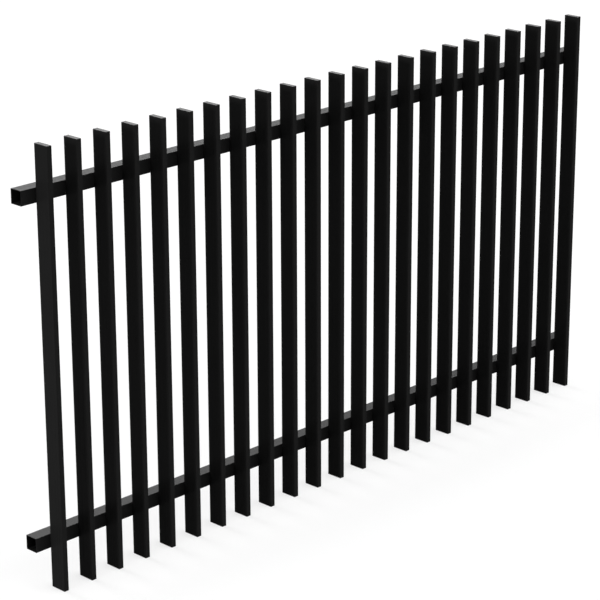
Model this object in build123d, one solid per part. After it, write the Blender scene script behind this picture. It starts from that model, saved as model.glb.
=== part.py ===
"""Batten fence panel in aluminium: upright battens set on edge, fixed to the front of two hollow rails.

Millimetres. +X runs along the panel to the right as seen from the front, +Y points to the back, +Z up.
The origin is at mid-length on the back face of the lower rail, at the height of that rail's centre line.
"""

import os

from build123d import *

# Panel
BATTEN_COUNT = 23
PANEL_HEIGHT = 1205.0  # bottom to top of a batten, caps included

# Rails: square tube, open at both ends
RAIL_LENGTH = 2200.0
RAIL_HEIGHT = 40.0
RAIL_DEPTH = 40.0
RAIL_WALL = 1.6
RAIL_CORNER = 1.2  # outer corner radius
RAIL_OVERHANG = 47.5  # rail end to the side of the outermost batten
RAIL_SPACING = 940.0  # centre line to centre line
LOWER_RAIL_ABOVE_FOOT = 131.0  # rail centre line above the battens' bottom ends

# Battens: flat hollow section, the narrow side to the front
BATTEN_WIDTH = 15.0
BATTEN_DEPTH = 50.0
BATTEN_WALL = 1.2
BATTEN_CORNER = 0.8  # outer corner radius

# Caps: a plate as large as the batten's section, on a plug that goes into it
CAP_PLATE = 2.5
CAP_EDGE = 0.4  # chamfer round the outer face of the plate
CAP_PLUG_LENGTH = 12.0
CAP_PLUG_WALL = 1.5
CAP_PLUG_CLEARANCE = 0.2  # each side, plug to the inside of the batten

# Places worked out from the sizes above
first_batten_x = -RAIL_LENGTH / 2 + RAIL_OVERHANG + BATTEN_WIDTH / 2
batten_pitch = -2 * first_batten_x / (BATTEN_COUNT - 1)
batten_xs = [first_batten_x + i * batten_pitch for i in range(BATTEN_COUNT)]
rail_y = -RAIL_DEPTH / 2
batten_y = -RAIL_DEPTH - BATTEN_DEPTH / 2
foot_z = -LOWER_RAIL_ABOVE_FOOT
head_z = foot_z + PANEL_HEIGHT
batten_length = PANEL_HEIGHT - 2 * CAP_PLATE


def hollow_section(width, depth, wall, corner):
    """Section of a drawn tube: rounded outside, square inside."""
    return RectangleRounded(width, depth, corner) - Rectangle(width - 2 * wall, depth - 2 * wall)


def rail(centre_z):
    """One rail, drawn along +X from the panel's left end."""
    left_end = Plane(origin=(-RAIL_LENGTH / 2, rail_y, centre_z), x_dir=(0, 1, 0), z_dir=(1, 0, 0))
    section = hollow_section(RAIL_DEPTH, RAIL_HEIGHT, RAIL_WALL, RAIL_CORNER)
    return extrude(left_end * section, RAIL_LENGTH)


def batten(centre_x):
    """One batten without its caps, its back face on the front of the rails."""
    section = hollow_section(BATTEN_WIDTH, BATTEN_DEPTH, BATTEN_WALL, BATTEN_CORNER)
    return Pos(centre_x, batten_y, foot_z + CAP_PLATE) * extrude(section, batten_length)


def cap():
    """One cap with its outer face up and the plate's underside at z = 0, the plug hanging below."""
    plate = extrude(RectangleRounded(BATTEN_WIDTH, BATTEN_DEPTH, BATTEN_CORNER), CAP_PLATE)
    plate = chamfer(plate.faces().sort_by(Axis.Z)[-1].edges(), CAP_EDGE)
    inset = 2 * (BATTEN_WALL + CAP_PLUG_CLEARANCE)
    plug_width = BATTEN_WIDTH - inset
    plug_depth = BATTEN_DEPTH - inset
    ring = Rectangle(plug_width, plug_depth)
    ring -= Rectangle(plug_width - 2 * CAP_PLUG_WALL, plug_depth - 2 * CAP_PLUG_WALL)
    return plate + extrude(ring, -CAP_PLUG_LENGTH)


def cap_row(seat_z, turned):
    """A cap for every batten, seated at one height, and turned over at the battens' bottom ends."""
    one = Rot(180, 0, 0) * cap() if turned else cap()
    return Compound(children=[Pos(x, batten_y, seat_z) * one for x in batten_xs])


pieces = {
    "lower_rail": rail(0),
    "upper_rail": rail(RAIL_SPACING),
    "top_caps": cap_row(head_z - CAP_PLATE, turned=False),
    "bottom_caps": cap_row(foot_z + CAP_PLATE, turned=True),
}
for number, x in enumerate(batten_xs, start=1):
    pieces[f"batten_{number:02d}"] = batten(x)

os.makedirs("parts", exist_ok=True)
for name, piece in pieces.items():
    export_step(piece, f"parts/{name}.step")
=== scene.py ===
# Pool fence panel: black battens set on edge in front of two open rails, all in the same coat.
# Metres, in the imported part's frame: +X along the panel, +Y out of its back, +Z up.

from math import cos, pi, radians, sin

import bpy
from mathutils import Matrix, Vector


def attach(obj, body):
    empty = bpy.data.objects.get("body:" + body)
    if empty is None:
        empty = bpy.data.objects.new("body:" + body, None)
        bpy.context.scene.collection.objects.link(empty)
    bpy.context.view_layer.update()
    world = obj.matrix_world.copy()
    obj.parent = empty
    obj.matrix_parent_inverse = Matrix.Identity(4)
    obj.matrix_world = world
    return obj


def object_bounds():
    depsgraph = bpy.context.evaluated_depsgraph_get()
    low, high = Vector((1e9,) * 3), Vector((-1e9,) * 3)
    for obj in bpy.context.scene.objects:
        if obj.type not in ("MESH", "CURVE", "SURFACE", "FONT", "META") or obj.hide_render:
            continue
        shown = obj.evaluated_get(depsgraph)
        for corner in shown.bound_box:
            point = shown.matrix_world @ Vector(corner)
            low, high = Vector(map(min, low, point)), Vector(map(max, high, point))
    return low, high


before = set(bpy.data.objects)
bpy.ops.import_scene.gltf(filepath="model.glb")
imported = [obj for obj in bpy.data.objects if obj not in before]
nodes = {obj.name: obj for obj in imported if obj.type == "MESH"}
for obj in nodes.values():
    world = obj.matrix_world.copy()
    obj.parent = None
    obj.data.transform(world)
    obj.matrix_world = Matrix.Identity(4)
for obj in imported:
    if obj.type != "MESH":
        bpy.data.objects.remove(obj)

cad_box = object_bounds()


# Rails: two lengths of square aluminium tube, extruded, sawn to length and left open at both ends.
# They lie behind the battens and carry them, and their ends go into brackets on the posts.
# Rails and battens get the same powder coat, sprayed on and baked.

rail_names = ["lower_rail", "upper_rail"]


def linear(hex_colour):
    """A colour written as sRGB hex, as linear red, green, blue and alpha."""
    values = [int(hex_colour[i:i + 2], 16) / 255 for i in (1, 3, 5)]
    return [v / 12.92 if v <= 0.04045 else ((v + 0.055) / 1.055) ** 2.4 for v in values] + [1.0]


def add_node(tree, kind, inputs, **settings):
    """A shader node with its settings. An input is a value, or the output of another node."""
    node = tree.nodes.new("ShaderNode" + kind)
    for name, value in settings.items():
        setattr(node, name, value)
    for name, value in inputs.items():
        if isinstance(value, bpy.types.NodeSocket):
            tree.links.new(value, node.inputs[name])
        else:
            node.inputs[name].default_value = value
    return node


def pattern_scale(size_mm):
    """The scale of a pattern on coordinates in metres whose features are size_mm across."""
    return 1000 / size_mm


def new_material(name):
    """An empty material, its node tree and its output."""
    material = bpy.data.materials.new(name)
    material.use_nodes = True
    material.node_tree.nodes.clear()
    return material, material.node_tree, add_node(material.node_tree, "OutputMaterial", {})


def powder_coat(name, streak_mm, gloss_level):
    """Satin black polyester powder coat on an extrusion whose die lines are streak_mm long on each axis.

    The powder melts into a skin with a faint orange peel, so that the faces stay an even near-black and
    their gloss is broken up. The tube's die lines show through as long, barely different streaks.
    The gloss level sets how much the coat mirrors when it is seen straight on.
    """
    material, tree, output = new_material(name)
    place = add_node(tree, "TexCoord", {}).outputs["Object"]

    # Orange peel is about 2 mm across on a real coat, and drawn at 4 mm so that it shows.
    peel = add_node(tree, "TexNoise", {"Vector": place, "Scale": pattern_scale(4), "Detail": 2.0})
    skin = add_node(tree, "Bump", {"Height": peel.outputs["Fac"], "Strength": 0.15, "Distance": 0.0001})

    # Die lines are a fraction of a millimetre wide, and drawn at 4 mm for the same reason.
    lengths = add_node(tree, "Mapping", {"Vector": place, "Scale": [pattern_scale(s) for s in streak_mm]})
    streaks = add_node(tree, "TexNoise", {"Vector": lengths.outputs["Vector"], "Scale": 1.0, "Detail": 3.0})
    roughness = add_node(tree, "MapRange", {
        "Value": streaks.outputs["Fac"], "To Min": 0.24, "To Max": 0.32,
    })

    # The black varies slowly, by hardly anything, with the thickness of the coat.
    clouds = add_node(tree, "TexNoise", {"Vector": place, "Scale": pattern_scale(120), "Detail": 2.0})
    colour = add_node(tree, "Mix", {
        "Factor": clouds.outputs["Fac"], "A": linear("#181818"), "B": linear("#1c1c1c"),
    }, data_type="RGBA")

    # Seen straight on, the coat mirrors next to nothing. Its gloss comes up only at a glancing angle.
    shader = add_node(tree, "BsdfPrincipled", {
        "Base Color": colour.outputs["Result"], "Roughness": roughness.outputs["Result"],
        "Normal": skin.outputs["Normal"], "IOR": 1.5,
        "Specular IOR Level": gloss_level, "Specular Tint": linear("#000000"),
    })
    tree.links.new(shader.outputs["BSDF"], output.inputs["Surface"])
    return material


def paint(piece, material):
    """Gives a piece one material all over."""
    piece.data.materials.clear()
    piece.data.materials.append(material)


rail_coat = powder_coat("satin_black_powder_coat_on_rail", streak_mm=(900, 4, 4), gloss_level=0.02)
for name in rail_names:
    paint(nodes[name], rail_coat)


# Battens: flat hollow aluminium extrusions, upright, with the narrow side to the front.
# Each stands with its back against both rails and is screwed to them from behind.

batten_names = sorted(name for name in nodes if name.startswith("batten_"))
batten_coat = powder_coat("satin_black_powder_coat_on_batten", streak_mm=(4, 4, 900), gloss_level=0.01)
for name in batten_names:
    paint(nodes[name], batten_coat)


# Screws: self-drilling steel screws with a broad, low head and a hexagon socket, plated black.
# Two go in at each crossing from behind, through the rail and into the batten, so that no batten
# can turn. Only their heads show, on the backs of the rails.

screw_head_radius = 0.0055
screw_head_height = 0.0022
screw_head_rounding = 0.0011
screw_sunk = 0.0003
screw_off_centre_line = 0.0095
socket_radius = 0.0023
socket_depth = 0.0013
socket_cone_inset = 0.00115
socket_cone_depth = 0.000325


def box_of(piece):
    """The lowest and the highest corner of a piece."""
    corners = list(zip(*(corner[:] for corner in piece.bound_box)))
    return Vector(map(min, corners)), Vector(map(max, corners))


def edit_faces(piece, wanted):
    """Goes into edit mode with only those faces of the piece selected that are wanted."""
    bpy.ops.object.mode_set(mode="EDIT")
    bpy.ops.mesh.select_mode(type="FACE")
    bpy.ops.mesh.select_all(action="DESELECT")
    bpy.ops.object.mode_set(mode="OBJECT")
    for face in piece.data.polygons:
        face.select = wanted(face)
    bpy.ops.object.mode_set(mode="EDIT")


def repeat(piece, count, step):
    """Copies a piece in a row, in its own mesh."""
    row = piece.modifiers.new("row", "ARRAY")
    row.count = count
    row.use_relative_offset = False
    row.use_constant_offset = True
    row.constant_offset_displace = step
    bpy.ops.object.modifier_apply(modifier=row.name)


batten_middles = [sum(box_of(nodes[name]), Vector()) / 2 for name in batten_names]
batten_pitch = (batten_middles[-1].x - batten_middles[0].x) / (len(batten_names) - 1)
lower_rail_box, upper_rail_box = (box_of(nodes[name]) for name in rail_names)
rail_back = lower_rail_box[1].y
rail_centre_line = (lower_rail_box[0].z + lower_rail_box[1].z) / 2
rail_spacing = upper_rail_box[1].z - lower_rail_box[1].z
first_screw = Vector((batten_middles[0].x, rail_back, rail_centre_line - screw_off_centre_line))
screw_top = rail_back + screw_head_height - screw_sunk

# The head: a disc with its outer rim rounded over.
bpy.ops.object.select_all(action="DESELECT")
bpy.ops.mesh.primitive_cylinder_add(
    vertices=24, radius=screw_head_radius, depth=screw_head_height,
    location=(first_screw.x, screw_top - screw_head_height / 2, first_screw.z), rotation=(-pi / 2, 0, 0))
rail_screws = bpy.context.object
rail_screws.name = "rail_screws"
bpy.ops.object.transform_apply(location=True, rotation=True, scale=True)
edit_faces(rail_screws, lambda face: face.normal.y > 0.9)
bpy.ops.mesh.bevel(offset=screw_head_rounding, segments=3, affect="EDGES")
bpy.ops.object.mode_set(mode="OBJECT")

# The socket: a hexagon sunk into the head, with its floor drawn in to a blunt cone.
bpy.ops.object.select_all(action="DESELECT")
bpy.ops.mesh.primitive_cylinder_add(
    vertices=6, radius=socket_radius, depth=2 * socket_depth,
    location=(first_screw.x, screw_top, first_screw.z), rotation=(-pi / 2, 0, 0))
socket = bpy.context.object
bpy.ops.object.transform_apply(location=True, rotation=True, scale=True)
edit_faces(socket, lambda face: face.normal.y < -0.9)
bpy.ops.mesh.inset(thickness=socket_cone_inset)
bpy.ops.transform.translate(value=(0, -socket_cone_depth, 0))
bpy.ops.object.mode_set(mode="OBJECT")
bpy.ops.object.select_all(action="DESELECT")
rail_screws.select_set(True)
bpy.context.view_layer.objects.active = rail_screws
sink = rail_screws.modifiers.new("sink", "BOOLEAN")
sink.object = socket
sink.operation = "DIFFERENCE"
sink.solver = "EXACT"
bpy.ops.object.modifier_apply(modifier=sink.name)
bpy.data.objects.remove(socket)
bpy.ops.object.shade_smooth_by_angle(angle=radians(40))

repeat(rail_screws, 2, (0, 0, 2 * screw_off_centre_line))
repeat(rail_screws, 2, (0, 0, rail_spacing))
repeat(rail_screws, len(batten_names), (batten_pitch, 0, 0))

# Black zinc plating on steel is a thin, even film, so the metal's soft shine stays under the black.
screw_steel, tree, output = new_material("black_zinc_plated_steel")
place = add_node(tree, "TexCoord", {}).outputs["Object"]
mottle = add_node(tree, "TexNoise", {"Vector": place, "Scale": pattern_scale(1.5), "Detail": 2.0})
screw_roughness = add_node(tree, "MapRange", {
    "Value": mottle.outputs["Fac"], "To Min": 0.36, "To Max": 0.48,
})
screw_bump = add_node(tree, "Bump", {"Height": mottle.outputs["Fac"], "Strength": 0.1, "Distance": 0.0001})
shader = add_node(tree, "BsdfPrincipled", {
    "Base Color": linear("#2c2c2c"), "Metallic": 1.0, "Roughness": screw_roughness.outputs["Result"],
    "Normal": screw_bump.outputs["Normal"],
})
tree.links.new(shader.outputs["BSDF"], output.inputs["Surface"])
paint(rail_screws, screw_steel)
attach(rail_screws, "root")


# Caps: moulded nylon plugs that close the battens at top and bottom against rain and insects.
# The plate is as large as the batten, and the plug below it is pressed into the hollow.

# Moulded nylon takes the fine eroded grain of its mould, which breaks up its gloss. The grain is
# about 0.3 mm, and drawn at 1.2 mm so that it shows.
cap_nylon, tree, output = new_material("moulded_black_nylon")
place = add_node(tree, "TexCoord", {}).outputs["Object"]
grain = add_node(tree, "TexNoise", {"Vector": place, "Scale": pattern_scale(1.2), "Detail": 2.0})
grain_bump = add_node(tree, "Bump", {"Height": grain.outputs["Fac"], "Strength": 0.2, "Distance": 0.0001})
cap_roughness = add_node(tree, "MapRange", {
    "Value": grain.outputs["Fac"], "To Min": 0.39, "To Max": 0.47,
})
shader = add_node(tree, "BsdfPrincipled", {
    "Base Color": linear("#1a1a1a"), "Roughness": cap_roughness.outputs["Result"],
    "Normal": grain_bump.outputs["Normal"], "IOR": 1.53,
    "Specular IOR Level": 0.04, "Specular Tint": linear("#000000"),
})
tree.links.new(shader.outputs["BSDF"], output.inputs["Surface"])
for name in ("top_caps", "bottom_caps"):
    paint(nodes[name], cap_nylon)


# Floor: a plain white studio floor under the battens' feet, running out of sight on all sides.
# Its paint is matt and takes the panel's shadow. What the eye and the gloss see of it is lifted to
# white, while the light that it throws back on the panel stays low.

panel_low, panel_high = cad_box
floor_size = 400
floor_below_feet = 0.0005


def seen_directly(tree):
    """1 for what the camera sees, also by way of a mirroring or clear surface, and 0 for other light."""
    ray = add_node(tree, "LightPath", {}).outputs
    seen = add_node(tree, "Math", {0: ray["Is Camera Ray"], 1: ray["Is Glossy Ray"]}, operation="MAXIMUM")
    seen = add_node(tree, "Math", {0: seen.outputs[0], 1: ray["Is Transmission Ray"]}, operation="MAXIMUM")
    return seen.outputs[0]


bpy.ops.object.select_all(action="DESELECT")
bpy.ops.mesh.primitive_plane_add(size=floor_size, location=(0, 0, panel_low.z - floor_below_feet))
floor = bpy.context.object
floor.name = "floor"

floor_white, tree, output = new_material("white_studio_floor")
matt = add_node(tree, "BsdfDiffuse", {"Color": linear("#8c8c8c")})
lift = add_node(tree, "MapRange", {"Value": seen_directly(tree), "To Min": 0.0, "To Max": 0.63})
glow = add_node(tree, "Emission", {"Strength": lift.outputs["Result"]})
both = add_node(tree, "AddShader", {0: matt.outputs[0], 1: glow.outputs[0]})
tree.links.new(both.outputs[0], output.inputs["Surface"])
paint(floor, floor_white)


# Light: a white room lit evenly, by a broad light overhead and weaker ones from the front, the left
# end and the back, which give the faces their shades. A large softbox far behind and to the right
# shows only in the gloss, which turns the faces that lie level grey.

world = bpy.data.worlds.new("white_room")
bpy.context.scene.world = world
world.use_nodes = True
world.node_tree.nodes.clear()
tree = world.node_tree
brightness = add_node(tree, "MapRange", {"Value": seen_directly(tree), "To Min": 0.05, "To Max": 1.0})
air = add_node(tree, "Background", {"Color": linear("#ffffff"), "Strength": brightness.outputs["Result"]})
add_node(tree, "OutputWorld", {"Surface": air.outputs[0]})


def lamp(name, kind, direction, in_gloss, reach=5.0, **settings):
    """A lamp that shines on the panel's middle from a direction.

    It isn't seen itself. Either it shows only in the gloss, or it lights only what isn't gloss.
    """
    data = bpy.data.lights.new(name, kind)
    for key, value in settings.items():
        setattr(data, key, value)
    piece = bpy.data.objects.new(name, data)
    towards = Vector(direction).normalized()
    place = (panel_low + panel_high) / 2 + reach * towards
    piece.matrix_world = Matrix.Translation(place) @ towards.to_track_quat("Z", "Y").to_matrix().to_4x4()
    piece.visible_camera = False
    piece.visible_glossy = in_gloss
    piece.visible_diffuse = not in_gloss
    bpy.context.scene.collection.objects.link(piece)


lamp("overhead", "SUN", (0, 0, 1), in_gloss=False, angle=radians(110), energy=3.5)
lamp("front", "SUN", (0.45, -1, 0.45), in_gloss=False, angle=radians(60), energy=1.95)
lamp("left_end", "SUN", (-1, 0, 0.12), in_gloss=False, angle=radians(15), energy=2.0)
lamp("back", "SUN", (0, 1, 0.4), in_gloss=False, angle=radians(20), energy=2.0)
lamp("softbox", "AREA", (0.62, 0.70, 0.655), in_gloss=True, reach=14.0,
     shape="RECTANGLE", size=11.0, size_y=4.9, energy=3000)


# Camera: a long lens, well off the panel's left end, in front of it and above its top.
# It looks along the panel at about 45 degrees and somewhat down on it.

camera_aim = Vector((-0.1471, -0.0650, 0.4477))
camera_distance = 6.5519
camera_heading = radians(45.325)
camera_dip = radians(18.892)
camera_roll = radians(-0.224)

camera_data = bpy.data.cameras.new("camera")
camera_data.sensor_width = 36.0
camera_data.lens = 140.18
camera = bpy.data.objects.new("camera", camera_data)
bpy.context.scene.collection.objects.link(camera)
turn = Matrix.Rotation(-camera_heading, 4, "Z") @ Matrix.Rotation(pi / 2 - camera_dip, 4, "X")
turn = turn @ Matrix.Rotation(camera_roll, 4, "Z")
level_share = cos(camera_dip)
sight = Vector((sin(camera_heading) * level_share, cos(camera_heading) * level_share, -sin(camera_dip)))
camera.matrix_world = Matrix.Translation(camera_aim - camera_distance * sight) @ turn
bpy.context.scene.camera = camera

bpy.context.scene.view_settings.view_transform = "Standard"
